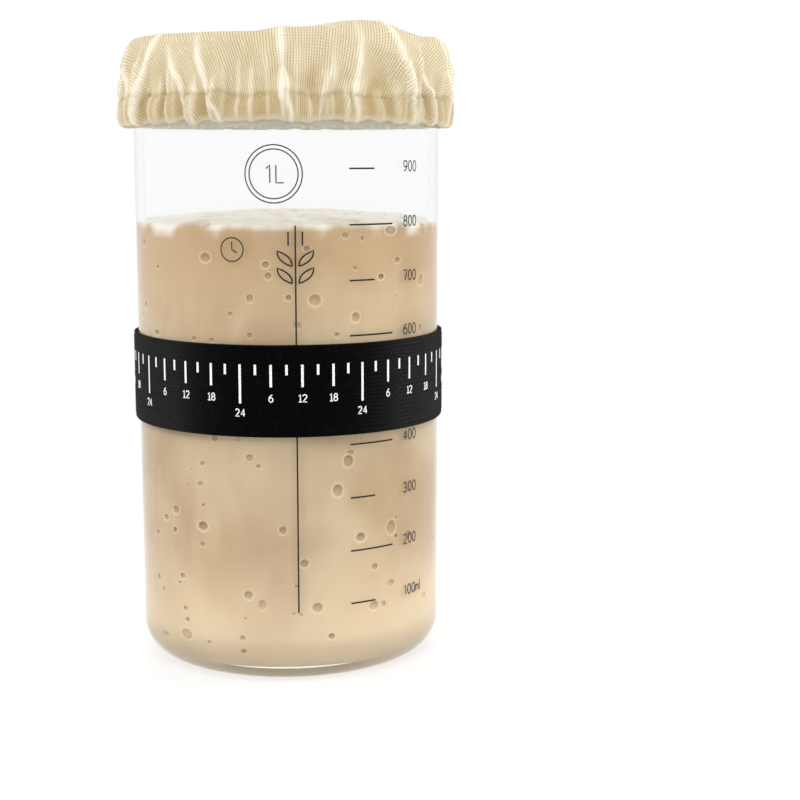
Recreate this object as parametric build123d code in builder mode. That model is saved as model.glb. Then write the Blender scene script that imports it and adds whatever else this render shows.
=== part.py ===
from build123d import *
import os
from math import cos, degrees, pi, radians, sin, sqrt

# A one-litre jar for sourdough starter, in millimetres, standing on Z = 0.
# +Z runs up the jar's axis, and -Y is the side that carries the printed scale.

# Glass jar
jar_radius = 47.0
jar_height = 190.0
wall = 2.5
floor_thickness = 5.5
heel_radius = 10.0  # outside corner between wall and base
inner_heel_radius = 8.0
bearing_ring_width = 4.0  # flat ring that touches the table
push_up = 2.5  # rise of the base inside the bearing ring
push_up_slope = 5.0  # width of the slope up to it
lip_bevel = 0.8

inner_radius = jar_radius - wall
bearing_outer = jar_radius - heel_radius
bearing_inner = bearing_outer - bearing_ring_width

# Starter, risen to the 800 ml line
starter_level = 136.5  # where the dough meets the wall
starter_crown = 3.0  # rise of the dough's middle above that
starter_shoulder = 12.0  # width of the slope between them
starter_clearance = 0.05
blister_count = 2  # foam domes standing out of the top
blister_reach = 24.0  # how far from the axis they are spread
blister_radius = 6.5
blister_variation = 2.5
blister_stand = 1.3  # how far one stands out of the dough

# Time band: a woven elastic loop with a rubber core, sewn to itself at the back
band_height = 27.0
band_bottom = 75.2
band_thickness = 1.3
band_grip_gap = 0.2  # kept between the loop and the glass
weave_ply = 0.4
core_gap = 0.05
core_inset = 1.6  # core's edge below the band's edge
lap_length = 14.0  # sewn overlap of the loop's ends, along the band
lap_sink = 0.1  # how far the lapped end presses into the ply under it

band_inner = jar_radius + band_grip_gap
band_outer = band_inner + band_thickness
band_middle = (band_inner + band_outer) / 2
band_centre_height = band_bottom + band_height / 2

# Cloth cover, gathered on an elastic in its hem
cover_gap = 0.3  # cloth to glass
facing = 0.65  # turned-up ply on the inside of the hem
hem_bottom = 164.5
stitch_line = 173.0
channel_floor = hem_bottom + 0.9
channel_width = 1.1
channel_taper = 2.0  # height over which the channel narrows below the stitch line
slit = 0.1  # between the facing and the outer ply at the stitch line
slit_drop = 0.8  # where it starts, below the stitch line
rim_gap = 0.25  # cloth to the jar's rim
tent_rise = 2.1  # rise of the cloth's underside from the rim to its middle
tent_slope = 9.0  # width of the slope between them
shoulder_bend = 1.4  # slope of the cloth over the rim
gather_count = 20
crown_drift_angle = -40.0  # the cloth's fullness leans to the right of the front
elastic_width = 5.4
elastic_thickness = 0.9

cover_inner = jar_radius + cover_gap
facing_outer = cover_inner + facing
channel_outer = facing_outer + channel_width
cover_ceiling = jar_height + rim_gap


def export(builder, name):
    """Writes one sub-part under its node's name."""
    builder.part.label = name
    export_step(builder.part, f"parts/{name}.step")
    print(f"{name}: {builder.part.volume / 1000:.2f} cm3")


def on_circle(radius, angle, height=0.0):
    """A point at an angle in degrees about the jar's axis, measured from +X."""
    return (radius * cos(radians(angle)), radius * sin(radians(angle)), height)


def inner_heel(inset=0.0):
    """Three points down the corner inside the jar, or at an inset from it."""
    centre_r = inner_radius - inner_heel_radius
    centre_z = floor_thickness + inner_heel_radius
    reach = inner_heel_radius - inset
    turns = [radians(45 * step) for step in range(3)]
    return [(centre_r + reach * cos(turn), centre_z - reach * sin(turn)) for turn in turns]


# The jar: one revolved wall with a pushed-up base, a round heel and a bevelled rim
with BuildPart() as glass_jar:
    with BuildSketch(Plane.XZ):
        with BuildLine():
            Polyline(
                (0, push_up), (bearing_inner - push_up_slope, push_up), (bearing_inner, 0), (bearing_outer, 0)
            )
            TangentArc((bearing_outer, 0), (jar_radius, heel_radius), tangent=(1, 0))
            Polyline(
                (jar_radius, heel_radius),
                (jar_radius, jar_height - lip_bevel),
                (jar_radius - lip_bevel, jar_height),
                (inner_radius + lip_bevel, jar_height),
                (inner_radius, jar_height - lip_bevel),
                *inner_heel(),
                (0, floor_thickness),
                (0, push_up),
            )
        make_face()
    revolve(axis=Axis.Z)


# The starter: fills the jar from its floor, with a swollen, blistered top
golden_angle = 180 * (3 - sqrt(5))
starter_top = starter_level + starter_crown
with BuildPart() as sourdough_starter:
    with BuildSketch(Plane.XZ):
        with BuildLine():
            Polyline(
                (0, floor_thickness + starter_clearance),
                *reversed(inner_heel(starter_clearance)),
                (inner_radius - starter_clearance, starter_level),
                (inner_radius - starter_shoulder, starter_top),
                (0, starter_top),
                (0, floor_thickness + starter_clearance),
            )
        make_face()
    revolve(axis=Axis.Z)
    for i in range(blister_count):
        spread = blister_reach * sqrt((i + 0.5) / blister_count)
        size = blister_radius + blister_variation * sin(2.3 * i)
        with Locations(on_circle(spread, golden_angle * i, starter_top - size + blister_stand)):
            Sphere(size)


# The time band: a woven tube round the rubber core, with the loop's ends lapped at the back
with BuildPart() as time_band:
    with BuildSketch(Plane.XZ):
        with Locations((band_middle, band_centre_height)):
            Rectangle(band_thickness, band_height)
            Rectangle(
                band_thickness - 2 * weave_ply, band_height - 2 * core_inset, mode=Mode.SUBTRACT
            )
    revolve(axis=Axis.Z)
    lap_angle = degrees(lap_length / band_outer)
    lap_start = 90 - lap_angle / 2
    lap_plane = Plane((0, 0, 0), x_dir=on_circle(1, lap_start), z_dir=on_circle(1, lap_start - 90))
    with BuildSketch(lap_plane):
        with Locations((band_middle + band_thickness - lap_sink, band_centre_height)):
            Rectangle(band_thickness, band_height)
    revolve(axis=Axis.Z, revolution_arc=lap_angle)


# The rubber core inside the weave
with BuildPart() as band_core:
    with BuildSketch(Plane.XZ):
        with Locations((band_middle, band_centre_height)):
            Rectangle(
                band_thickness - 2 * (weave_ply + core_gap),
                band_height - 2 * (core_inset + core_gap),
            )
    revolve(axis=Axis.Z)


# The cover's gathers: creases at uneven angles, with the cloth puffed out between them
gather_widths = [1 + 0.34 * sin(1.9 * i) + 0.22 * sin(0.7 * i + 1) for i in range(gather_count)]
gather_total = sum(gather_widths)

# Its main folds, which run from the crown over the shoulder: angle, half width, height
main_folds = [
    (-51, 17, 1.0),
    (-94, 12, 0.6),
    (-68, 10, 0.5),
    (-24, 14, 0.8),
    (-150, 15, 0.9),
    (-122, 11, 0.4),
    (12, 15, 0.7),
    (44, 13, 0.5),
    (80, 16, 0.9),
    (119, 13, 0.6),
    (158, 14, 0.7),
]


def fold_at(angle):
    """Height of the main folds at an angle, as a share of the level's fold depth."""
    height = 0.0
    for centre, half_width, share in main_folds:
        away = abs((angle - centre + 180) % 360 - 180)
        if away < half_width:
            height += share * cos(pi / 2 * away / half_width) ** 2
    return height


def gathered_outline(crease_radius, puff, lean, fold_depth, drift):
    """Adds one level's outline, an arc between each crease and the next, to the current line."""
    centre_x, centre_y, _ = on_circle(drift, crown_drift_angle)

    def cloth_point(radius, angle):
        x, y, _ = on_circle(radius + fold_depth * fold_at(angle), angle)
        return (centre_x + x, centre_y + y)

    angle = -90.0
    for i, width in enumerate(gather_widths):
        span = 360 * width / gather_total
        start = angle + lean * sin(2.7 * i)
        end = angle + span + lean * sin(2.7 * ((i + 1) % gather_count))
        ThreePointArc(
            cloth_point(crease_radius, start),
            cloth_point(crease_radius + puff * width, (start + end) / 2),
            cloth_point(crease_radius, end),
        )
        angle += span


# Each level of the cover, from the hem up: height, crease radius, puff, lean, fold depth, drift
cover_levels = [
    (hem_bottom, 49.5, 1.0, 0.4, 0.3, 0.0),
    (hem_bottom + 3.5, 50.0, 1.15, 0.4, 0.4, 0.2),
    (stitch_line, 49.4, 0.8, 0.4, 0.5, 0.4),
    (stitch_line + 9.0, 50.3, 0.5, 0.4, 1.4, 0.8),
    (jar_height - 0.5, 49.3, 0.3, 0.4, 1.9, 0.9),
    (jar_height + 3.0, 45.6, 0.1, 0.4, 2.0, 1.0),
    (jar_height + 4.8, 38.5, 0.05, 0.4, 2.0, 1.2),
]

with BuildPart() as cloth_cover:
    for height, crease_radius, puff, lean, fold_depth, drift in cover_levels:
        with BuildSketch(Plane.XY.offset(height)):
            with BuildLine():
                gathered_outline(crease_radius, puff, lean, fold_depth, drift)
            make_face()
    loft(ruled=True)
    # The hollow over the jar's mouth, and the channel between the hem's two plies
    with BuildSketch(Plane.XZ):
        with BuildLine():
            single_ply = facing_outer + slit
            Polyline(
                (0, hem_bottom - 1),
                (cover_inner, hem_bottom - 1),
                (cover_inner, stitch_line),
                (facing_outer, stitch_line),
                (facing_outer, channel_floor),
                (channel_outer, channel_floor),
                (channel_outer, stitch_line - channel_taper),
                (single_ply, stitch_line - slit_drop),
                (single_ply, jar_height - shoulder_bend),
                (single_ply - shoulder_bend, cover_ceiling),
                (single_ply - tent_slope, cover_ceiling + tent_rise),
                (0, cover_ceiling + tent_rise),
                (0, hem_bottom - 1),
            )
        make_face()
    revolve(axis=Axis.Z, mode=Mode.SUBTRACT)


# The elastic inside the hem
with BuildPart() as hem_elastic:
    with BuildSketch(Plane.XZ):
        elastic_middle = (facing_outer + channel_outer) / 2
        with Locations((elastic_middle, channel_floor + elastic_width / 2)):
            Rectangle(elastic_thickness, elastic_width)
    revolve(axis=Axis.Z)


os.makedirs("parts", exist_ok=True)
export(glass_jar, "glass_jar")
export(sourdough_starter, "sourdough_starter")
export(time_band, "time_band")
export(band_core, "band_core")
export(cloth_cover, "cloth_cover")
export(hem_elastic, "hem_elastic")
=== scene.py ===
"""A one-litre jar of sourdough starter: glass, dough, a woven time band and a gathered cloth cover."""

import bmesh
import bpy
import random
from math import asin, atan2, copysign, cos, degrees, exp, hypot, pi, radians, sin, sqrt
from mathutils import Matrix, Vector, noise
from mathutils.kdtree import KDTree


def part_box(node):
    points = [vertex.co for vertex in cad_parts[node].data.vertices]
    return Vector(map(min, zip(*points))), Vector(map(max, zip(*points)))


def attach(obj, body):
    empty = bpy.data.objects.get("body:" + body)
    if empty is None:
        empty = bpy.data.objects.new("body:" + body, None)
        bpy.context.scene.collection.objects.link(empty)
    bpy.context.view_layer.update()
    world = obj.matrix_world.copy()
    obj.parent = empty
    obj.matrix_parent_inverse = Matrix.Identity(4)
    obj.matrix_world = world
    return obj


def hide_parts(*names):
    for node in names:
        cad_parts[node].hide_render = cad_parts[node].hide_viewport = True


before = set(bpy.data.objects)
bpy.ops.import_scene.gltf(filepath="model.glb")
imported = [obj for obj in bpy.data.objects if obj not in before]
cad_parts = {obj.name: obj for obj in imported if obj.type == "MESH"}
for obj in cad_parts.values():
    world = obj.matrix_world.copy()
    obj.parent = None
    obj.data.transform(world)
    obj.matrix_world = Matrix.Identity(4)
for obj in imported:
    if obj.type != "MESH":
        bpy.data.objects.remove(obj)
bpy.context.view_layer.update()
mm = 0.001


def placed(name, data):
    """A new object, put in the scene."""
    made = bpy.data.objects.new(name, data)
    bpy.context.scene.collection.objects.link(made)
    return made


def as_data(name, mesh):
    """A mesh of the scene's own, made from a bmesh, which is then done with."""
    data = bpy.data.meshes.new(name)
    mesh.to_mesh(data)
    mesh.free()
    return data


# Camera. Angles about the jar's axis are measured from its front, -Y, towards +X.

eye_turn = radians(-2.55)
eye_distance = 511 * mm
eye_height = 157.9 * mm
eye_pan = radians(3.95)
eye_tilt = radians(8.81)
eye_lens = 72.8
film_width = 36.0
picture_width = 800  # in pixels

camera_data = bpy.data.cameras.new("camera")
camera_data.lens = eye_lens
camera_data.sensor_width = film_width
camera_data.clip_start = 10 * mm
camera = placed("camera", camera_data)
camera.location = (eye_distance * sin(eye_turn), -eye_distance * cos(eye_turn), eye_height)
looking = Vector((
    cos(eye_tilt) * sin(eye_pan - eye_turn),
    cos(eye_tilt) * cos(eye_pan - eye_turn),
    -sin(eye_tilt),
))
camera.rotation_mode = "QUATERNION"
camera.rotation_quaternion = looking.to_track_quat("-Z", "Y")
bpy.context.scene.camera = camera


# Materials

class Value:
    """A node's output, which takes part in sums as a number does."""

    def __init__(self, wiring, socket):
        self.wiring = wiring
        self.socket = socket

    def __add__(self, other):
        return self.wiring.maths("ADD", self, other)

    def __radd__(self, other):
        return self.wiring.maths("ADD", other, self)

    def __sub__(self, other):
        return self.wiring.maths("SUBTRACT", self, other)

    def __rsub__(self, other):
        return self.wiring.maths("SUBTRACT", other, self)

    def __mul__(self, other):
        return self.wiring.maths("MULTIPLY", self, other)

    def __truediv__(self, other):
        return self.wiring.maths("DIVIDE", self, other)

    def __abs__(self):
        return self.wiring.maths("ABSOLUTE", self)

    def part(self):
        return self.wiring.maths("FRACT", self)

    def most(self, other):
        return self.wiring.maths("MAXIMUM", self, other)

    def eased(self, low, high, first=0.0, last=1.0):
        """Goes smoothly from first to last while this goes from low to high."""
        inputs = {"Value": self, "From Min": low, "From Max": high, "To Min": first, "To Max": last}
        return self.wiring.node("ShaderNodeMapRange", {"interpolation_type": "SMOOTHSTEP"}, inputs)


class Wiring:
    """The nodes of one material or world, linked as they are made."""

    def __init__(self, tree):
        self.tree = tree
        tree.nodes.clear()

    def feed(self, socket, value):
        if isinstance(value, Value):
            self.tree.links.new(value.socket, socket)
        elif isinstance(value, tuple) and len(value) == 3 and socket.type == "RGBA":
            socket.default_value = (*value, 1.0)
        else:
            socket.default_value = value

    def node(self, kind, settings, inputs, output=0):
        made = self.tree.nodes.new(kind)
        for setting, value in settings.items():
            setattr(made, setting, value)
        for socket, value in inputs.items():
            self.feed(made.inputs[socket], value)
        return Value(self, made.outputs[output])

    def maths(self, operation, first, second=0.0):
        return self.node("ShaderNodeMath", {"operation": operation}, {0: first, 1: second})

    def light_path(self, question):
        return self.node("ShaderNodeLightPath", {}, {}, question)

    def mixed(self, share, first, second):
        return self.node("ShaderNodeMixShader", {}, {0: share, 1: first, 2: second})

    def on_view(self):
        """One for what the camera sees, also through glass and in a gloss, and zero for lighting."""
        through_glass = self.light_path("Is Transmission Ray")
        return self.light_path("Is Camera Ray").most(through_glass).most(self.light_path("Is Glossy Ray"))


class Recipe(Wiring):
    """A material with one Principled shader."""

    def __init__(self, name, **finish):
        self.material = bpy.data.materials.new(name)
        self.material.use_nodes = True
        super().__init__(self.material.node_tree)
        self.output = self.tree.nodes.new("ShaderNodeOutputMaterial")
        self.shader = self.tree.nodes.new("ShaderNodeBsdfPrincipled")
        self.surface = Value(self, self.shader.outputs[0])
        self.show(self.surface)
        for words, value in finish.items():
            self.set(words.replace("_", " ").title().replace("Ior", "IOR"), value)

    def show(self, surface):
        self.feed(self.output.inputs[0], surface)

    def set(self, socket, value):
        self.feed(self.shader.inputs[socket], value)

    def place(self):
        return self.node("ShaderNodeTexCoord", {}, {}, "Object")

    def axis(self, vector, letter):
        return self.node("ShaderNodeSeparateXYZ", {}, {"Vector": vector}, letter)

    def stretched(self, vector, scale):
        return self.node("ShaderNodeMapping", {}, {"Vector": vector, "Scale": scale})

    def attribute(self, name):
        return self.node("ShaderNodeAttribute", {"attribute_name": name}, {}, "Fac")

    def cloud(self, vector, scale, detail=3.0, roughness=0.5, distortion=0.0):
        inputs = {"Vector": vector, "Scale": scale, "Detail": detail, "Roughness": roughness}
        inputs["Distortion"] = distortion
        return self.node("ShaderNodeTexNoise", {}, inputs, "Fac")

    def colour(self, share, first, second):
        return self.node("ShaderNodeMix", {"data_type": "RGBA"}, {0: share, 6: first, 7: second}, 2)

    def let_light_through(self, colour, share):
        """Lets a share of the light pass on to what stands behind the surface."""
        clear = self.node("ShaderNodeBsdfTransparent", {}, {"Color": colour})
        self.show(self.mixed(self.light_path("Is Shadow Ray") * share, self.surface, clear))

    def relief(self, height, distance, strength=1.0):
        inputs = {"Height": height, "Distance": distance, "Strength": strength}
        self.set("Normal", self.node("ShaderNodeBump", {}, inputs))


def clear_glass():
    glass = Recipe(
        "clear_glass",
        base_color=(0.976, 0.984, 0.982),
        roughness=0.0,
        ior=1.5,
        transmission_weight=1.0,
    )
    glass.let_light_through((0.97, 0.98, 0.975), 1.0)
    return glass.material


def risen_dough():
    dough = Recipe("risen_dough", specular_ior_level=0.4)
    place = dough.place()
    height = dough.axis(place, "Z")
    patches = dough.cloud(place, 30, 2.0, 0.45, 0.6)
    streaks = dough.cloud(dough.stretched(place, (1.0, 1.0, 0.35)), 120, 3.0, 0.5, 0.8)
    mottle = patches.eased(0.36, 0.66) * 0.75 + streaks.eased(0.3, 0.72) * 0.25
    body = dough.colour(mottle, (0.56, 0.40, 0.225), (0.73, 0.58, 0.375))
    warm = height.eased(0.100, 0.134)
    body = dough.colour(warm * 0.6, body, (0.56, 0.36, 0.17))
    # Painted light: the dough is made paler towards the bottom, where its heel faces down and gets less
    # light.
    painted_bottom_light = height.eased(0.008, 0.05, 1.0, 0.0)
    body = dough.colour(painted_bottom_light * 0.65, body, (0.98, 0.80, 0.55))
    foam = dough.attribute("foam")
    body = dough.colour(foam, body, (1.0, 0.965, 0.885))
    dough.set("Roughness", 0.42 - foam * 0.14)
    # Painted highlight: a pale ring round each bubble hollow.
    body = dough.colour(dough.attribute("pit_rim_highlight") * 0.8, body, (0.96, 0.86, 0.65))
    # Painted shade: the bubble hollows are darkened, most at their rims and on their upper sides.
    tint = dough.cloud(place, 90, 1.0).eased(0.4, 0.6)
    hollow = dough.colour(tint, (0.31, 0.18, 0.075), (0.40, 0.21, 0.065))
    body = dough.colour(dough.attribute("pit"), body, hollow)
    dough.set("Base Color", body)
    grain = dough.cloud(place, 900, 4.0, 0.6)
    dough.relief(grain, 0.08 * mm, 0.5)
    return dough.material


def woven_band_cloth():
    yarn = Recipe(
        "woven_band", roughness=0.85, sheen_weight=0.1, sheen_roughness=0.25, specular_ior_level=0.02
    )
    place = yarn.place()
    turn = yarn.maths("ARCTAN2", yarn.axis(place, "X"), yarn.axis(place, "Y"))
    row = yarn.axis(place, "Z") / band_rib_pitch
    slant = (turn * (band_threads / (2 * pi)) + row * 0.5).part()
    thread = abs(slant - 0.5) * 2
    fuzz = yarn.cloud(place, 2600, 3.0, 0.6)
    lint = yarn.cloud(place, 420, 2.0, 0.5)
    wear = lint.eased(0.52, 0.8)
    shade = thread * 0.55 + fuzz * 0.45
    colour = yarn.colour(shade, (0.0004, 0.0004, 0.0005), (0.0045, 0.0045, 0.005))
    colour = yarn.colour(wear * 0.3, colour, (0.012, 0.012, 0.013))
    yarn.set("Base Color", colour)
    yarn.set("Roughness", 0.75 + fuzz * 0.25)
    yarn.relief(thread * 0.75 + fuzz * 0.25, 0.3 * mm)
    return yarn.material


def printed_ink(name, colour, roughness):
    ink = Recipe(name, roughness=roughness)
    place = ink.place()
    worn = ink.cloud(place, 1800, 3.0, 0.6)
    lighter = tuple(min(1.0, part * 1.15 + 0.01) for part in colour)
    ink.set("Base Color", ink.colour(worn.eased(0.4, 0.7), colour, lighter))
    ink.relief(worn, 0.02 * mm, 0.4)
    return ink.material


def knitted_cotton(base, light, dark):
    """Jersey whose stitch columns follow the flat cloth, with a dark dot at each stitch's foot."""
    knit = Recipe(
        "knitted_cotton",
        roughness=0.88,
        sheen_weight=0.25,
        sheen_roughness=0.5,
        specular_ior_level=0.15,
    )
    flat = knit.node("ShaderNodeUVMap", {"uv_map": "flat"}, {}, "UV")
    across = knit.axis(flat, "X")
    along = knit.axis(flat, "Y")
    sway = knit.cloud(flat, 3.0, 2.0) - 0.5
    column = (across + sway * (1.6 * mm)) / knit_column
    row = (along + sway * (1.2 * mm)) / knit_row
    beside = abs(column.part() - 0.5) * 2
    leg = abs((row + beside * 0.5).part() - 0.5) * 2
    dot = beside.eased(0.42, 0.95) * (0.3 + leg.eased(0.15, 0.75) * 0.7)
    crease = beside.eased(0.0, 0.22, 0.3, 0.0)
    slub = knit.cloud(knit.stretched(flat, (30.0, 6.0, 1.0)), 40, 3.0, 0.6)
    patch = knit.cloud(flat, 16, 2.0)
    fleck = knit.cloud(flat, 900, 2.0, 0.7)
    colour = knit.colour(slub.eased(0.45, 0.75) * 0.5, base, light)
    colour = knit.colour(patch.eased(0.35, 0.7) * 0.2, colour, light)
    # Painted shade: a warm darker tone over the hem below the stitch line.
    colour = knit.colour(knit.attribute("hem_shade") * 0.72, colour, (0.47, 0.36, 0.18))
    colour = knit.colour(dot * 0.85, colour, dark)
    colour = knit.colour(fleck.eased(0.63, 0.72) * 0.3, colour, dark)
    # Painted shade: dark brown in the creases along the seam and in the valleys between folds.
    colour = knit.colour(knit.attribute("crease_shade") * 0.7, colour, (0.40, 0.27, 0.11))
    # Painted highlight: pale cream on fold crests, along the hem's edge and over the turned-under facing.
    colour = knit.colour(knit.attribute("painted_highlight") * 0.55, colour, (0.98, 0.94, 0.84))
    knit.set("Base Color", colour)
    knit.relief(0.8 - dot * 0.7 - crease + slub * 0.15 + fleck * 0.05, 0.25 * mm, 0.7)
    knit.let_light_through((1.0, 0.98, 0.93), 0.78)
    return knit.material


def plain_rubber(name, colour, grain):
    rubber = Recipe(name, roughness=0.6)
    place = rubber.place()
    speck = rubber.cloud(place, grain, 3.0, 0.6)
    lighter = tuple(part * 1.5 + 0.01 for part in colour)
    rubber.set("Base Color", rubber.colour(speck, colour, lighter))
    rubber.relief(speck, 0.05 * mm, 0.5)
    return rubber.material


# Sizes, read from the frame

glass_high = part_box("glass_jar")[1]
jar_radius = glass_high.x
jar_height = glass_high.z
wall = 2.5 * mm
floor_thickness = 5.5 * mm
inner_radius = jar_radius - wall
heel = 10 * mm
inner_heel = 8 * mm
push_up = 2.5 * mm
bearing_inner = 33 * mm
bearing_outer = 37 * mm
lip = 1.2 * mm

band_low, band_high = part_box("time_band")
band_bottom = band_low.z
band_top = band_high.z
band_radius = band_high.x
band_inner = jar_radius + 0.2 * mm
band_ribs = 23
band_rib_pitch = (band_top - band_bottom) / band_ribs
band_threads = 620

knit_column = 0.82 * mm
knit_row = 0.66 * mm


def spot(radius, turn, height):
    """The point at a turn in radians from the front."""
    return Vector((radius * sin(turn), -radius * cos(turn), height))


def bow(centre_x, centre_y, reach_x, reach_y, start, end, steps=10):
    """Points along part of an ellipse, from one angle in degrees to another."""
    turns = [radians(start + (end - start) * step / steps) for step in range(steps + 1)]
    return [(centre_x + reach_x * cos(turn), centre_y + reach_y * sin(turn)) for turn in turns]


def finished(name, mesh, material, body):
    """Turns a bmesh into a piece that rides on a body."""
    data = as_data(name, mesh)
    data.materials.append(material)
    data.polygons.foreach_set("use_smooth", [True] * len(data.polygons))
    piece = placed(name, data)
    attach(piece, body)
    return piece


def turned(outline, steps, angle=2 * pi, start=0.0):
    """A bmesh spun about the jar's axis from an outline of (radius, height) points."""
    mesh = bmesh.new()
    points = [mesh.verts.new(spot(r, start, z)) for r, z in outline]
    edges = [mesh.edges.new(pair) for pair in zip(points, points[1:])]
    closed = angle >= 2 * pi - 1e-6
    bmesh.ops.spin(
        mesh,
        geom=points + edges,
        cent=(0, 0, 0),
        axis=(0, 0, 1),
        dvec=(0, 0, 0),
        angle=angle,
        steps=steps,
        use_merge=closed,
    )
    bmesh.ops.remove_doubles(mesh, verts=mesh.verts, dist=0.002 * mm)
    bmesh.ops.recalc_face_normals(mesh, faces=mesh.faces)
    return mesh


# The glass jar

base_flat = 14 * mm  # radius of the flat middle of the pushed-up base
base_slope = 8 * mm  # width of the slope round it
base_bend = (4 * mm, 6 * mm)
ring_bend = 1 * mm  # round inner edge of the ring that the jar stands on
bend_margin = 0.5 * mm  # keeps a bend's shading off the straight wall
lip_margin = 0.4 * mm
wall_rows = (60 * mm, 120 * mm)
floor_swell = 0.6 * mm  # of the inside of the base, at its middle

glass_outline = [
    (0, push_up),
    (base_flat, push_up),
    *bow(bearing_inner - base_slope, push_up - base_bend[1], *base_bend, 90, 45, 4),
    *bow(bearing_inner + ring_bend, ring_bend, ring_bend, ring_bend, 200, 270, 4),
    *bow(bearing_outer, heel, heel, heel, -90, 0, 16),
    (jar_radius, heel + bend_margin),
    *[(jar_radius, row) for row in wall_rows],
    (jar_radius, jar_height - lip - lip_margin),
    *bow(jar_radius - lip, jar_height - lip, lip, lip, 0, 90, 6),
    *bow(inner_radius + lip, jar_height - lip, lip, lip, 90, 180, 6),
    (inner_radius, jar_height - lip - lip_margin),
    *[(inner_radius, row) for row in reversed(wall_rows)],
    (inner_radius, floor_thickness + inner_heel + bend_margin),
    *bow(inner_radius - inner_heel, floor_thickness + inner_heel, inner_heel, inner_heel, 0, -90, 12),
    (20 * mm, floor_thickness + floor_swell / 2),
    (0, floor_thickness + floor_swell),
]
glass = finished("glass_wall", turned(glass_outline, 240), clear_glass(), "jar")
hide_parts("glass_jar")


# The starter

dough_radius = inner_radius + 0.7 * mm  # the dough presses into the glass, with no air between
dough_floor = floor_thickness - 0.15 * mm
heel_top = dough_floor + inner_heel
dough_level = 136.6 * mm
dough_crown = 2.4 * mm
dough_corner = 2.2 * mm  # round edge between the wall and the top
dough_row = 1.6 * mm  # between the rows of the mesh
dough_steps = 176  # round the jar
floor_row = 4 * mm
top_inset = 3.5 * mm  # from the wall to the first row across the top
top_rows = 25
rippled = 2.5 * mm  # height over which the top's ripples fade in
deepest = 0.6 * mm  # bubble
glass_index = 1.5
picture_middle = picture_width / 2
focal_pixels = eye_lens / film_width * picture_width


def on_wall(column, row):
    """The turn and height, on the dough behind the glass, of a spot in the photograph."""
    ray = Vector((column - picture_middle, picture_middle - row, -focal_pixels))
    ray = camera.rotation_quaternion @ ray
    ray /= hypot(ray.x, ray.y)
    eye = camera.location
    beside = eye.x * ray.y - eye.y * ray.x
    beside = max(-0.995 * jar_radius, min(0.995 * jar_radius, beside))
    reach = -(eye.x * ray.x + eye.y * ray.y) - sqrt(jar_radius**2 - beside**2)
    place = eye + ray * reach
    bent = asin(abs(beside) / jar_radius / glass_index)
    turn = atan2(place.x, -place.y)
    on_dough = asin(sin(bent) * jar_radius / dough_radius)
    turn += copysign(on_dough - bent, turn - eye_turn)
    return turn, place.z + ray.z * (jar_radius - dough_radius) / glass_index


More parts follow.
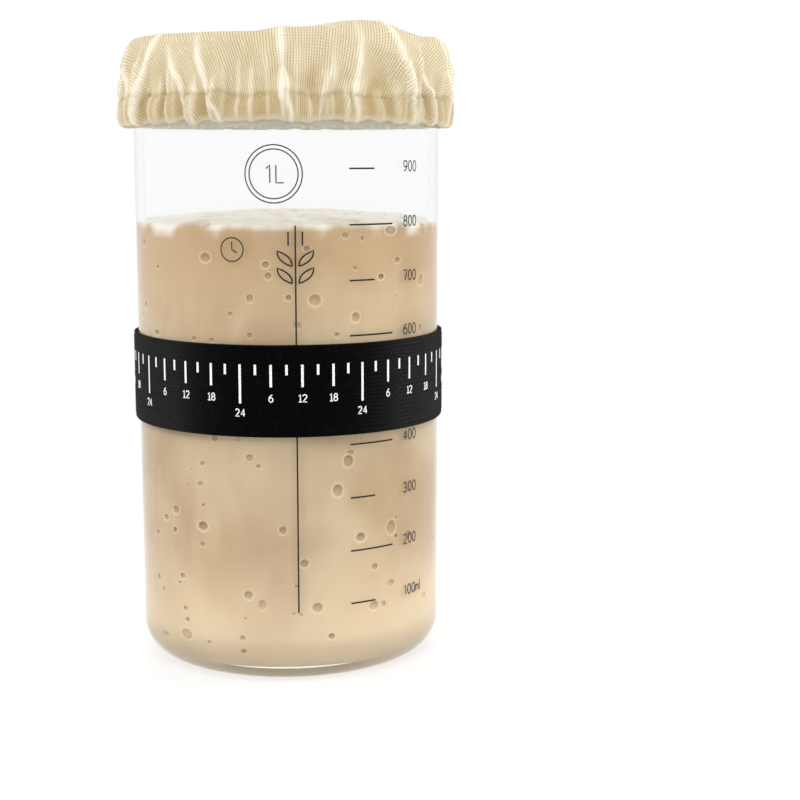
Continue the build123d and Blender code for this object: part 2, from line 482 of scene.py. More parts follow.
# Bubbles against the glass: column, row, half width, half height in pixels, and strength
seen_bubbles = [
    (249.5, 457.8, 3.5, 3.5, 0.8), (258.2, 466.4, 2.2, 2.2, 1.0), (202.4, 463.6, 2.4, 2.4, 0.8),
    (191.8, 469.3, 1.3, 1.3, 0.7), (200.7, 484.2, 2.8, 2.8, 0.45), (187.2, 484.7, 1.1, 1.1, 0.7),
    (203.3, 505.3, 2.0, 2.0, 0.9), (202.9, 526.1, 4.8, 4.9, 1.25), (202.6, 544.5, 2.6, 2.6, 0.6),
    (176.0, 509.6, 3.2, 4.4, 0.8), (166.6, 517.2, 2.4, 3.2, 0.9), (175.3, 530.0, 2.0, 3.2, 1.0),
    (158.2, 532.2, 2.0, 2.4, 0.9), (159.3, 465.4, 1.0, 1.0, 0.6), (350.2, 452.6, 3.8, 2.4, 0.7),
    (348.4, 461.0, 5.0, 6.2, 0.8), (337.8, 490.7, 5.0, 6.6, 0.75), (282.9, 530.7, 3.9, 4.0, 0.8),
    (304.4, 563.8, 4.3, 4.3, 0.9), (296.8, 586.6, 2.0, 1.8, 0.7), (360.8, 537.2, 4.8, 4.8, 0.9),
    (391.1, 527.2, 4.6, 7.4, 0.55), (396.1, 517.6, 1.6, 1.9, 0.7), (395.9, 536.3, 2.3, 2.5, 0.7),
    (408.0, 535.2, 2.6, 5.6, 0.6), (374.7, 566.7, 3.2, 3.6, 0.7), (390.7, 583.4, 3.6, 4.2, 0.4),
    (317.6, 607.9, 5.4, 5.2, 0.7), (373.8, 605.7, 4.9, 5.0, 0.6), (383.5, 604.0, 2.5, 3.4, 0.5),
    (423.7, 595.3, 2.0, 3.6, 0.5), (248.4, 595.5, 4.4, 4.4, 0.7), (262.3, 605.3, 3.8, 5.6, 0.4),
    (185.7, 608.5, 2.3, 2.8, 0.8), (187.9, 619.8, 2.3, 2.4, 0.9), (186.8, 634.3, 5.4, 5.8, 0.6),
    (182.7, 576.0, 2.8, 2.8, 0.9), (180.1, 582.5, 2.0, 1.6, 0.7), (159.5, 577.0, 1.6, 4.4, 0.7),
    (164.0, 588.6, 1.5, 2.2, 0.8), (209.1, 641.9, 1.9, 2.0, 0.8), (242.6, 638.2, 2.8, 2.8, 0.6),
    (243.0, 651.7, 3.0, 3.0, 0.9), (165.5, 635.2, 3.0, 3.6, 0.4), (331.7, 636.5, 3.4, 3.4, 0.9),
    (293.7, 613.9, 1.9, 1.5, 0.6), (301.3, 615.0, 1.9, 1.7, 0.6), (245.4, 618.7, 1.8, 1.4, 0.6),
    (214.4, 438.2, 3.4, 3.0, 0.8), (237.3, 439.8, 1.6, 1.6, 0.4), (142.3, 538.5, 1.4, 4.6, 0.8),
    (432.3, 538.5, 1.2, 4.5, 0.7), (361.4, 438.7, 2.0, 1.8, 0.4), (144.5, 242.4, 1.9, 3.6, 0.7),
    (157.7, 267.0, 1.9, 2.0, 0.9), (205.0, 257.6, 4.9, 4.6, 0.7), (265.4, 264.8, 3.5, 3.5, 0.9),
    (268.1, 276.0, 3.4, 3.6, 0.6), (249.5, 298.7, 3.5, 4.2, 0.5), (288.5, 297.8, 3.0, 2.9, 0.9),
    (230.0, 314.2, 2.6, 2.6, 0.4), (145.8, 305.0, 1.9, 4.8, 0.6), (143.5, 315.0, 1.2, 2.3, 0.5),
    (204.5, 226.8, 3.6, 3.0, 0.4), (306.6, 248.7, 3.3, 3.0, 0.7), (345.4, 235.4, 3.6, 3.0, 0.5),
    (362.2, 238.4, 1.9, 3.0, 0.7), (390.8, 230.2, 5.4, 4.6, 0.8), (397.1, 259.9, 2.9, 3.1, 0.7),
    (355.0, 268.1, 2.3, 2.2, 0.7), (381.0, 276.7, 3.0, 3.1, 1.1), (420.6, 279.4, 2.6, 6.0, 0.6),
    (422.4, 224.3, 2.3, 2.3, 0.5), (315.0, 300.3, 5.9, 5.9, 0.6), (355.8, 317.3, 4.0, 5.2, 0.7),
    (420.0, 328.0, 1.8, 4.0, 0.5), (433.3, 246.0, 0.9, 2.0, 0.6), (297.0, 326.0, 4.0, 3.6, 0.4),
    (157.0, 333.0, 2.8, 2.8, 0.8), (249.4, 335.7, 2.7, 3.0, 0.5), (337.0, 335.0, 2.6, 2.6, 0.6),
    (211.6, 340.3, 2.4, 2.2, 0.4), (194.0, 338.8, 2.4, 2.2, 0.4), (396.0, 296.0, 1.2, 1.2, 0.4),
]


def top_height(reach):
    """Height of the swollen top at a distance from the axis."""
    return dough_level + dough_crown * (1 - (reach / dough_radius) ** 2)


def dough_outline():
    """The dough's meridian from the middle of the floor to the middle of the top."""
    wall_height = dough_level - dough_corner - 0.4 * mm - heel_top
    across_top = [dough_radius - top_inset - step * dough_row for step in range(top_rows)]
    corner_middle = dough_radius - dough_corner
    return [
        (0, dough_floor),
        *[(step * floor_row, dough_floor) for step in range(1, 9)],
        *bow(dough_radius - inner_heel, heel_top, inner_heel, inner_heel, -90, 0, 9),
        *[(dough_radius, heel_top + step * dough_row) for step in range(1, int(wall_height / dough_row))],
        *bow(corner_middle, dough_level - dough_corner, dough_corner, dough_corner, 0, 80, 5),
        *[(reach, top_height(reach)) for reach in across_top],
        (0, top_height(0)),
    ]


chance = random.Random(11)
pixel = 0.29 * mm  # size of the photograph's pixel at the glass
widest_bubble = 2.4 * mm
hidden_bubbles = 150  # on the sides that the photograph doesn't show
top_bubbles = 120


def wall_bubbles():
    """Turn, height, half sizes and strength of each bubble against the glass."""
    found = []
    for column, row, half_width, half_height, strength in seen_bubbles:
        turn, height = on_wall(column, row)
        facing = max(0.35, cos(turn - eye_turn))
        half_width = min(half_width * pixel / facing, widest_bubble)
        found.append((turn, height, half_width, half_height * pixel, strength))
    for _ in range(hidden_bubbles):
        turn = eye_turn + radians(chance.uniform(84, 276))
        height = chance.uniform(16, 133) * mm
        size = (0.35 + 1.35 * chance.random() ** 2.2) * mm
        half_width = size * chance.uniform(0.85, 1.15)
        half_height = size * chance.uniform(0.85, 1.3)
        found.append((turn, height, half_width, half_height, chance.uniform(0.4, 1.0)))
    return found


def all_bubbles():
    """Every hollow in the dough: centre, outward, two axes along the surface, half sizes, strength."""
    bubbles = []
    for turn, height, *sizes in wall_bubbles():
        reach = dough_radius
        outward = spot(1, turn, 0)
        up = Vector((0, 0, 1))
        if height < heel_top:
            drop = min(1.0, (heel_top - height) / inner_heel)
            level = sqrt(1 - drop * drop)
            reach = dough_radius - inner_heel * (1 - level)
            outward = (outward * level - up * drop).normalized()
            up = outward.cross(spot(1, turn + pi / 2, 0)).normalized() * -1
        bubbles.append((spot(reach, turn, height), outward, up.cross(outward), up, *sizes))
    for _ in range(top_bubbles):
        turn = chance.uniform(0, 2 * pi)
        reach = (dough_radius - 4 * mm) * sqrt(chance.random())
        size = (0.5 + 2.4 * chance.random() ** 3) * mm
        sizes = (size, size * chance.uniform(0.8, 1.2), chance.uniform(0.15, 0.4))
        axes = (Vector((0, 0, 1)), spot(1, turn + pi / 2, 0), spot(1, turn, 0))
        bubbles.append((spot(reach, turn, top_height(reach)), *axes, *sizes))
    return bubbles


def refined(mesh, bubbles):
    """Cuts the mesh finer round each bubble, until the cuts suit its size."""
    for _ in range(4):
        middles = KDTree(len(mesh.edges))
        edges = list(mesh.edges)
        for index, edge in enumerate(edges):
            middles.insert((edge.verts[0].co + edge.verts[1].co) / 2, index)
        middles.balance()
        chosen = set()
        for centre, _, _, _, half_width, half_height, _ in bubbles:
            size = max(half_width, half_height)
            finest = max(0.16 * mm, min(half_width, half_height) / 2.6)
            for _, index, away in middles.find_range(centre, size * 1.4 + 1.1 * mm):
                length = edges[index].calc_length()
                if length > finest and away < size * 1.4 + length * 0.6:
                    chosen.add(index)
        bmesh.ops.subdivide_edges(
            mesh, edges=[edges[index] for index in chosen], cuts=1, use_grid_fill=True
        )


def make_dough():
    mesh = turned(dough_outline(), dough_steps)
    bubbles = all_bubbles()
    refined(mesh, bubbles)
    for vert in mesh.verts:
        reach = hypot(vert.co.x, vert.co.y)
        if vert.co.z > heel_top and reach > dough_radius - 0.3 * mm:
            vert.co.x *= dough_radius / reach
            vert.co.y *= dough_radius / reach
        if vert.co.z > dough_level - rippled:
            share = min(1.0, (vert.co.z - dough_level + rippled) / rippled)
            ripple = noise.noise(vert.co * 260) * 0.8
            swell = noise.noise(vert.co * 90 + Vector((3, 1, 7))) * 1.1
            foam = max(0.0, noise.noise(vert.co * 620)) * 0.5
            vert.co.z += 0.6 * (ripple + swell + foam) * share * mm
    mesh.verts.ensure_lookup_table()
    pit_shade_layer = mesh.verts.layers.float.new("pit")
    pit_rim_highlight_layer = mesh.verts.layers.float.new("pit_rim_highlight")
    foam_layer = mesh.verts.layers.float.new("foam")
    places = KDTree(len(mesh.verts))
    for index, vert in enumerate(mesh.verts):
        places.insert(vert.co, index)
        turn = atan2(vert.co.x, -vert.co.y)
        on_ring = Vector((sin(turn), cos(turn), 0.0))
        scallop = noise.noise(on_ring * 4.2) * 2.8 + noise.noise(on_ring * 11) * 1.6
        edge = dough_level - 2.8 * mm - scallop * mm
        share = min(1.0, max(0.0, (vert.co.z - edge) / (3.2 * mm)))
        vert[foam_layer] = share * share * (3 - 2 * share)
    places.balance()
    moves = {}
    for centre, outward, across, up, half_width, half_height, strength in bubbles:
        size = max(half_width, half_height)
        for _, index, _ in places.find_range(centre, size * 1.7):
            vert = mesh.verts[index]
            offset = vert.co - centre
            away = hypot(offset.dot(across) / half_width, offset.dot(up) / half_height)
            if away < 1:
                depth = min(min(half_width, half_height) * 0.7, deepest) * sqrt(1 - away**2.4)
                if depth > moves.get(index, (0, outward))[0]:
                    moves[index] = (depth, outward)
            # Painted shade in each hollow: darkest near its rim, darker on its upper side and lighter on
            # its lower side.
            mask = max(0.0, 1 - max(0.0, away - 0.82) / 0.2)
            mask *= 0.68 + 0.32 * min(1.0, away / 0.8) ** 3
            shaded = 0.8 + 0.35 * max(-1.0, min(1.0, offset.dot(up) / half_height))
            vert[pit_shade_layer] = max(vert[pit_shade_layer], min(1.0, mask * strength * shaded))
            # Painted highlight: a pale ring just outside each hollow's rim.
            ring = max(0.0, 1 - abs(away - 1.16) / 0.24)
            vert[pit_rim_highlight_layer] = max(vert[pit_rim_highlight_layer], ring * min(1.0, strength))
    for index, (depth, outward) in moves.items():
        mesh.verts[index].co -= outward * depth
    bmesh.ops.recalc_face_normals(mesh, faces=mesh.faces)
    return finished("starter", mesh, risen_dough(), "jar")


dough = make_dough()
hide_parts("sourdough_starter")


# Lines and numbers

unit_strokes = {
    "0": [bow(0.27, 0.5, 0.27, 0.5, 90, 450, 20)],
    "1": [[(0.06, 0.8), (0.27, 1.0), (0.27, 0.0)]],
    "2": [bow(0.26, 0.73, 0.26, 0.27, 165, -40, 10) + [(0.0, 0.0), (0.54, 0.0)]],
    "3": [bow(0.23, 0.76, 0.23, 0.24, 150, -90, 10), bow(0.23, 0.26, 0.28, 0.26, 90, -150, 10)],
    "4": [[(0.4, 0.0), (0.4, 1.0), (0.0, 0.27), (0.56, 0.27)]],
    "5": [[(0.48, 1.0), (0.09, 1.0), (0.06, 0.56)] + bow(0.24, 0.31, 0.28, 0.31, 120, -150, 10)],
    "6": [bow(0.27, 0.3, 0.27, 0.3, 180, 540, 16), bow(0.62, 0.32, 0.62, 0.7, 105, 180, 8)],
    "7": [[(0.0, 1.0), (0.54, 1.0), (0.2, 0.0)]],
    "8": [bow(0.27, 0.76, 0.22, 0.24, 90, 450, 16), bow(0.27, 0.26, 0.27, 0.26, 90, 450, 16)],
    "9": [bow(0.27, 0.7, 0.27, 0.3, 0, 360, 16), bow(-0.08, 0.68, 0.62, 0.7, -75, 0, 8)],
    "m": [
        [(0.0, 0.0), (0.0, 0.62)],
        bow(0.16, 0.44, 0.16, 0.18, 180, 0, 8) + [(0.32, 0.0)],
        bow(0.48, 0.44, 0.16, 0.18, 180, 0, 8) + [(0.64, 0.0)],
    ],
    "l": [[(0.0, 0.0), (0.0, 1.08)]],
    "L": [[(0.0, 1.0), (0.0, 0.0), (0.44, 0.0)]],
}
foot = [[(0.05, 0.0), (0.49, 0.0)]]
unit_widths = {"m": 0.64, "l": 0.0, "L": 0.44, "1": 0.36}


def numbered(text, middle, height, size, gap=0.2, with_feet=False):
    """Strokes of a number whose middle is at a distance along the wall and at a height."""
    widths = [unit_widths.get(letter, 0.54) for letter in text]
    total = sum(widths) + gap * (len(text) - 1)
    left = -total / 2
    strokes = []
    for letter, width in zip(text, widths):
        forms = unit_strokes[letter] + (foot if with_feet and letter == "1" else [])
        for form in forms:
            strokes.append([
                (middle + (left + x) * size, height + (y - 0.5) * size) for x, y in form
            ])
        left += width + gap
    return strokes


def spaced(points, longest=0.9 * mm):
    """The same row of points, with more between those that are far apart."""
    row = [points[0]]
    for (x0, y0), (x1, y1) in zip(points, points[1:]):
        cuts = max(1, round(hypot(x1 - x0, y1 - y0) / longest))
        row += [(x0 + (x1 - x0) * k / cuts, y0 + (y1 - y0) * k / cuts) for k in range(1, cuts + 1)]
    return row


def cords(rows, width):
    """A bmesh of round cords, one along each row of points."""
    line = bpy.data.curves.new("cords", "CURVE")
    line.dimensions = "3D"
    line.bevel_depth = width / 2
    line.bevel_resolution = 1
    line.use_fill_caps = True
    for row in rows:
        spline = line.splines.new("POLY")
        spline.points.add(len(row) - 1)
        for point, place in zip(spline.points, row):
            point.co = (*place, 1.0)
        spline.use_smooth = True
    holder = placed("cords", line)
    bpy.context.view_layer.update()
    graph = bpy.context.evaluated_depsgraph_get()
    data = bpy.data.meshes.new_from_object(holder.evaluated_get(graph))
    bpy.data.objects.remove(holder)
    mesh = bmesh.new()
    mesh.from_mesh(data)
    return mesh


def printed(name, strokes, width, radius, thickness, material, body):
    """Lines laid round the jar: each is a row of (distance from the front, height) points."""
    rows = [[(along, height, 0.0) for along, height in spaced(points)] for points in strokes]
    mesh = cords(rows, width)
    for vert in mesh.verts:
        along, height, rise = vert.co
        vert.co = spot(radius + max(rise, 0.0) * thickness / (width / 2), along / radius, height)
    return finished(name, mesh, material, body)


glass_print = jar_radius + 0.012 * mm
glass_print_rise = 0.03 * mm
dark_ink = printed_ink("dark_print", (0.003, 0.003, 0.003), 0.7)
lowest_mark = 24.0 * mm
mark_spacing = 16.06 * mm  # up the wall, for 100 ml
mark_turns = (19.6, 29.8, 38.0)  # start, end of a short mark and end of a long one, in degrees
number_middle = radians(47.8) * jar_radius
number_lift = 0.6 * mm
number_size = 3.0 * mm
number_gap = 0.22
leaf_points = [(1.0, 0.0), (4.6, 1.1), (5.3, 3.0), (5.2, 4.4), (1.6, 3.2), (0.9, 1.4)]


def scale_lines():
    """The index line and the millilitre marks."""
    strokes = [[(0.0, 22.4 * mm), (0.0, 136.4 * mm)]]
    start, short_end, long_end = [radians(turn) * jar_radius for turn in mark_turns]
    for hundreds in range(1, 10):
        height = lowest_mark + mark_spacing * (hundreds - 1)
        strokes.append([(start, height), (short_end if hundreds % 2 else long_end, height)])
    return strokes


def scale_numbers():
    strokes = []
    for hundreds in range(1, 10):
        height = lowest_mark + number_lift + mark_spacing * (hundreds - 1)
        strokes += numbered(f"{hundreds}00", number_middle, height, number_size, number_gap)
    unit_middle = number_middle + 4.5 * mm
    return strokes + numbered("ml", unit_middle, lowest_mark + number_lift, number_size, number_gap)


def curve(start, first, second, end, steps=8):
    """Points along a curve that two handles draw out."""
    points = []
    for step in range(steps + 1):
        t = step / steps
        weights = ((1 - t) ** 3, 3 * t * (1 - t) ** 2, 3 * t * t * (1 - t), t**3)
        row = list(zip(weights, (start, first, second, end)))
        points.append(tuple(sum(weight * point[side] for weight, point in row) for side in range(2)))
    return points


def grain_mark():
    """The index line's plain ear of grain: two short strokes over two pairs of leaves."""
    strokes = []
    for side in (-1, 1):
        strokes.append([(side * 2.05 * mm, 130.7 * mm), (side * 2.05 * mm, 134.7 * mm)])
        for bottom in (124.8 * mm, 119.9 * mm):
            leaf = [(side * x * mm, bottom + y * mm) for x, y in leaf_points]
            stem, tip = leaf[0], leaf[3]
            strokes.append(curve(*leaf[:4]) + curve(tip, *leaf[4:], stem))
    return strokes


def badge():
    """A plain double ring with the jar's volume, and a small clock dial beside the index line."""
    middle, height = -6.0 * mm, 151.0 * mm
    strokes = [bow(middle, height, 8.2 * mm, 8.2 * mm, 90, 450, 48)]
    strokes += [bow(middle, height, 7.0 * mm, 7.0 * mm, 90, 450, 44)]
    strokes += numbered("1", middle - 1.5 * mm, height, 5.0 * mm)
    strokes += numbered("L", middle + 1.8 * mm, height, 5.0 * mm)
    dial, dial_height = -18.5 * mm, 129.5 * mm
    strokes.append(bow(dial, dial_height, 3.4 * mm, 3.4 * mm, 90, 450, 28))
    hands = [(0.0, 2.2), (0.0, 0.0), (1.5, -0.9)]
    strokes.append([(dial + x * mm, dial_height + y * mm) for x, y in hands])
    return strokes


for name, strokes, width in (
    ("index_and_marks", scale_lines(), 0.48 * mm),
    ("mark_numbers", scale_numbers(), 0.40 * mm),
    ("grain_ear", grain_mark(), 0.46 * mm),
    ("volume_badge", badge(), 0.36 * mm),
):
    printed(name, strokes, width, glass_print, glass_print_rise, dark_ink, "jar")


# The time band

rib_depth = 0.22 * mm
rib_section = ((0.08, 1.0), (0.3, 0.25), (0.55, 0.0), (0.8, 0.3))  # place up a rib, share of its depth
edge_rib_sink = 0.12 * mm
edge_slope = (0.25 * mm, 0.4 * mm)
band_steps = 240  # round the jar
lap_steps = 20


def band_outline(inner, outer):
    """A closed section of the woven band, with a rib for each row of yarn on its outside."""
    across, up = edge_slope
    section = [(inner, band_bottom + up), (inner + across, band_bottom)]
    for rib in range(band_ribs):
        face = outer - edge_rib_sink if rib in (0, band_ribs - 1) else outer
        low = band_bottom + rib * band_rib_pitch
        for share, sink in rib_section:
            section.append((face - rib_depth * sink, low + share * band_rib_pitch))
    section += [(inner + across, band_top), (inner, band_top - up)]
    return section + [section[0]]


band_cloth = woven_band_cloth()
band = finished(
    "woven_band_loop",
    turned(band_outline(band_inner, band_radius), band_steps),
    band_cloth,
    "band",
)
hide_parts("time_band")

lap_turn = 14 * mm / band_radius
lap_rise = 1.2 * mm
lap_outline = band_outline(band_inner + lap_rise, band_radius + lap_rise)
lap_mesh = turned(lap_outline, lap_steps, lap_turn, pi - lap_turn / 2)
open_edges = [edge for edge in lap_mesh.edges if edge.is_boundary]
bmesh.ops.holes_fill(lap_mesh, edges=open_edges, sides=0)
bmesh.ops.recalc_face_normals(lap_mesh, faces=lap_mesh.faces)
finished("woven_band_lap", lap_mesh, band_cloth, "band")


tick_step = radians(5.4)
first_tick = radians(-149.3)
tick_top = band_bottom + 21.4 * mm
hour_size = 2.1 * mm
hour_gap = 0.26


def hour_ticks():
    """Seven days of ticks, one every three hours, and the hour under each longer one."""
    ticks, numbers = [], []
    for tick in range(7 * 8 + 1):
        along = (first_tick + tick * tick_step) * band_radius
        hour = tick % 8 * 3
        length = 3.0 * mm
        if hour == 0:
            length = 11.4 * mm
            numbers += numbered("24", along, tick_top - 14.1 * mm, hour_size, hour_gap)
        elif hour % 6 == 0:
            length = 6.5 * mm
            numbers += numbered(str(hour), along, tick_top - 9.8 * mm, hour_size, hour_gap, True)
        ticks.append([(along, tick_top), (along, tick_top - length)])
    return ticks, numbers


white_ink = printed_ink("white_print", (0.86, 0.86, 0.85), 0.6)
hour_lines, hour_numbers = hour_ticks()
band_print = band_radius - 0.04 * mm
printed("hour_ticks", hour_lines, 0.78 * mm, band_print, 0.1 * mm, white_ink, "band")
printed("hour_numbers", hour_numbers, 0.36 * mm, band_print, 0.1 * mm, white_ink, "band")


def lap_stitches():
    """Two zigzag seams that hold the lap."""
    seams = []
    for side in (-1, 1):
        middle = pi * band_radius + side * 4.6 * mm
        seams.append([
            (middle + (1.1 if tooth % 2 else -1.1) * mm, band_bottom + 1.6 * mm + tooth * 0.9 * mm)
            for tooth in range(27)
        ])
    return seams


thread = printed_ink("seam_thread", (0.02, 0.02, 0.022), 0.6)
on_lap = band_radius + lap_rise - 0.05 * mm
printed("lap_seams", lap_stitches(), 0.42 * mm, on_lap, 0.22 * mm, thread, "band")


# The cloth cover

# Places down the cloth from its middle to its hidden edge, and its radius and height there
cap_line = [
    (0.0, 0.0, 193.4), (15.0, 15.0, 193.2), (30.0, 29.9, 192.3), (38.0, 37.8, 191.4),
    (43.6, 43.3, 190.7), (47.0, 46.2, 189.9), (50.2, 47.7, 188.3), (54.4, 48.2, 185.0),
    (59.0, 48.3, 181.2), (65.0, 48.4, 176.8), (70.5, 48.8, 172.9), (74.5, 49.9, 169.4),
    (78.2, 50.2, 165.9), (79.6, 49.9, 164.7), (80.7, 49.2, 164.1), (82.0, 48.3, 165.0),
    (87.5, 47.7, 170.4),
]
stitch_reach = 70.5
hem_reach = 80.0
cloth_cells = 100

# Sharp folds: turn in degrees at the hem, at the stitch line and at the crown, height, width,
# and the place down the cloth where each begins
sharp_folds = [
    (43, 41.5, 32, 2.3, 3.0, 34), (-1, -3.5, -4.5, 1.4, 2.8, 40), (20.5, 19.5, 23, 1.1, 2.4, 50),
    (68, 69, 65, 1.6, 3.0, 44), (-35, -39, -45, 1.3, 2.6, 52), (-24, -29, -34, 1.2, 2.6, 48),
    (-60, -59, -51, 1.8, 3.4, 40), (-72, -72, -78, 1.1, 2.6, 50), (56, 55.5, 50, 1.0, 2.4, 54),
    (8, 9, 13, 0.7, 2.0, 56), (88, 86, 81, 0.8, 3.0, 48), (107, 110, 116, 1.6, 3.2, 40),
    (131, 129, 124, 1.1, 2.6, 50), (152, 150, 146, 1.7, 3.4, 38), (171, 173, 178, 1.0, 2.6, 50),
    (-168, -166, -160, 1.5, 3.2, 42), (-146, -148, -153, 1.0, 2.6, 52), (-126, -124, -118, 1.8, 3.2, 38),
    (-104, -106, -110, 1.2, 2.8, 48), (-88, -88, -92, 0.9, 2.4, 54),
]
# Rise of the crown at a turn in degrees
crown_fullness = [
    (-180, 0.0), (-120, 0.0), (-60, -0.5), (-36, -0.5), (-18, 0.0), (0, 1.6), (12, 3.0), (24, 3.8),
    (38, 2.9), (56, 1.6), (76, 0.8), (110, 0.0), (180, 0.0),
]
small_gathers = 80
gather_width = 1.35
gather_turns = sorted(
    (gather + 0.4 * chance.uniform(-1, 1)) / small_gathers * 2 * pi for gather in range(small_gathers)
)
gather_heights = [chance.uniform(0.6, 2.0) for _ in range(small_gathers)]
gather_tops = [chance.uniform(48, 66) for _ in range(small_gathers)]


def eased(value, low, high):
    share = min(1.0, max(0.0, (value - low) / (high - low)))
    return share * share * (3 - 2 * share)


def turn_between(first, second):
    """The turn from the second to the first, the short way round."""
    return (first - second + pi) % (2 * pi) - pi


def on_cap(reach):
    """Radius and height of the smooth cloth at a place down it, in millimetres."""
    last = len(cap_line) - 1
    start = next((k for k in range(last - 1) if reach <= cap_line[k + 1][0]), last - 1)
    before, low, high, after = [cap_line[max(0, min(last, start + k))] for k in (-1, 0, 1, 2)]
    span = high[0] - low[0]
    t = min(1.0, max(0.0, (reach - low[0]) / span))
    values = []
    for side in (1, 2):
        slope_low = (high[side] - before[side]) / (high[0] - before[0])
        slope_high = (after[side] - low[side]) / (after[0] - low[0])
        values.append(
            (2 * t**3 - 3 * t**2 + 1) * low[side] + (t**3 - 2 * t**2 + t) * span * slope_low
            + (3 * t**2 - 2 * t**3) * high[side] + (t**3 - t**2) * span * slope_high
        )
    return values


cap_steps = 350
cap_points = [on_cap(cap_line[-1][0] * step / cap_steps) for step in range(cap_steps + 1)]
cap_lengths = [0.0]
for (near_radius, near_height), (far_radius, far_height) in zip(cap_points, cap_points[1:]):
    cap_lengths.append(cap_lengths[-1] + hypot(far_radius - near_radius, far_height - near_height))


def laid_flat(reach):
    """Length of cloth from its middle to a place down the cover, in millimetres."""
    place = min(1.0, reach / cap_line[-1][0]) * cap_steps
    step = min(cap_steps - 1, int(place))
    return cap_lengths[step] + (cap_lengths[step + 1] - cap_lengths[step]) * (place - step)


def crest(away):
    """Section of a fold: a sharp crest on a soft foot, between two shallow valleys."""
    away = abs(away)
    return 0.6 * exp(-1.6 * away) + 0.45 * exp(-((away / 1.6) ** 2)) - 0.2 * exp(-((away - 2.9) ** 2))


def hem_lift(turn):
    """How far the hem hangs above its lowest level, in millimetres: most of all in front."""
    return 0.6 * cos(turn) + 0.35 * cos(2 * turn) + 0.8


def folds_at(reach, turn):
    """How far folds and gathers stand out of the cloth, in millimetres, and how near a crest is."""
    radius = on_cap(reach)[0]
    height = 0.0
    ridge = 0.0
    for at_hem, at_stitch, at_crown, share, width, top in sharp_folds:
        if reach > stitch_reach:
            middle = at_stitch + (at_hem - at_stitch) * eased(reach, stitch_reach, hem_reach)
        else:
            middle = at_stitch + (at_crown - at_stitch) * (1 - eased(reach, top, stitch_reach))
        wide = width * (1 + 0.9 * (1 - eased(reach, top, stitch_reach)))
        away = turn_between(turn, radians(middle)) * radius / wide
        if abs(away) < 5:
            grown = eased(reach, top - 6, top + 10)
            height += 1.5 * share * crest(away) * grown * (1 - 0.5 * eased(reach, 70, 76))
            ridge = max(ridge, min(1.0, share) * grown * exp(-((4.2 * away) ** 2)))
    for middle, share, top in zip(gather_turns, gather_heights, gather_tops):
        away = turn_between(turn, middle) * radius / gather_width
        if abs(away) < 4:
            grown = eased(reach, top, top + 9)
            height += share * crest(away) * grown
            ridge = max(ridge, 0.35 * share * grown * exp(-((2.6 * away) ** 2)))
    height *= 0.4 + 0.6 * eased(reach, 44, 56)
    height *= (1 - 0.3 * eased(reach, 76, 79.5)) * (1 - eased(reach, hem_reach - 0.5, hem_reach + 2))
    return height, ridge


def crown_rise(turn):
    """How far the crown's fullness stands up at a turn: most of all a little right of the front."""
    angle = degrees(turn)
    for (before, low), (after, high) in zip(crown_fullness, crown_fullness[1:]):
        if angle <= after:
            return low + (high - low) * eased(angle, before, after)
    return 0.0


def cloth_point(reach, turn):
    """Where a point of the cloth is before it settles, in metres."""
    place = spot(reach * mm, turn, 0.3)
    radius, height = on_cap(reach)
    rise = crown_rise(turn)
    faded = eased(reach, 48, 62) if rise > 0 else eased(reach, 39, 46)
    height += rise * eased(reach, 14, 42) * (1 - faded)
    height += hem_lift(turn) * eased(reach, stitch_reach, stitch_reach + 8)
    on_ring = Vector((sin(turn), cos(turn), 0.4))
    wobble = 1.3 * noise.noise(on_ring * 5) + 0.9 * noise.noise(on_ring * 15)
    height += wobble * eased(reach, 60, 68) * (1 - eased(reach, 73, 78))
    height += 0.6 * noise.noise(on_ring * 9) * eased(reach, 73, 79) * (1 - eased(reach, 82, 85))
    radius += 0.65 * (1 + sin(turn)) * eased(reach, 40, 54) * (1 - eased(reach, 62, 76))
    broad = noise.noise(place * 42) + 0.5 * noise.noise(place * 95)
    height += 0.8 * broad * eased(reach, 6, 36) * (1 - eased(reach, 46, 56))
    radius += 1.1 * broad * eased(reach, 46, 56) * (1 - eased(reach, 64, stitch_reach))
    if 50 < reach < hem_reach:
        radius += 0.4 * folds_at(reach, turn)[0]
    return spot(radius * mm, turn, height * mm)


def disc_of_cells(cells, reach):
    """A flat round sheet of even cells."""
    mesh = bmesh.new()
    bmesh.ops.create_grid(mesh, x_segments=cells, y_segments=cells, size=1.0)
    for vert in mesh.verts:
        a, b = vert.co.x, vert.co.y
        if a * a > b * b:
            radius, turn = a, (pi / 4) * (b / a)
        elif b != 0:
            radius, turn = b, pi / 2 - (pi / 4) * (a / b)
        else:
            radius, turn = 0.0, 0.0
        vert.co = Vector((radius * cos(turn), radius * sin(turn), 0.0)) * reach
    return mesh


sim_scale = 10.0
sim_frames = 26
cloth_settings = {
    "quality": 6,
    "mass": 0.15,
    "tension_stiffness": 60,
    "compression_stiffness": 60,
    "shear_stiffness": 20,
    "bending_stiffness": 0.6,
    "tension_damping": 15,
    "compression_damping": 15,
    "shear_damping": 10,
    "air_damping": 4,
    "shrink_min": -0.005,  # the cloth is this much longer each way than the shape it starts from
    "vertex_group_mass": "held",
}


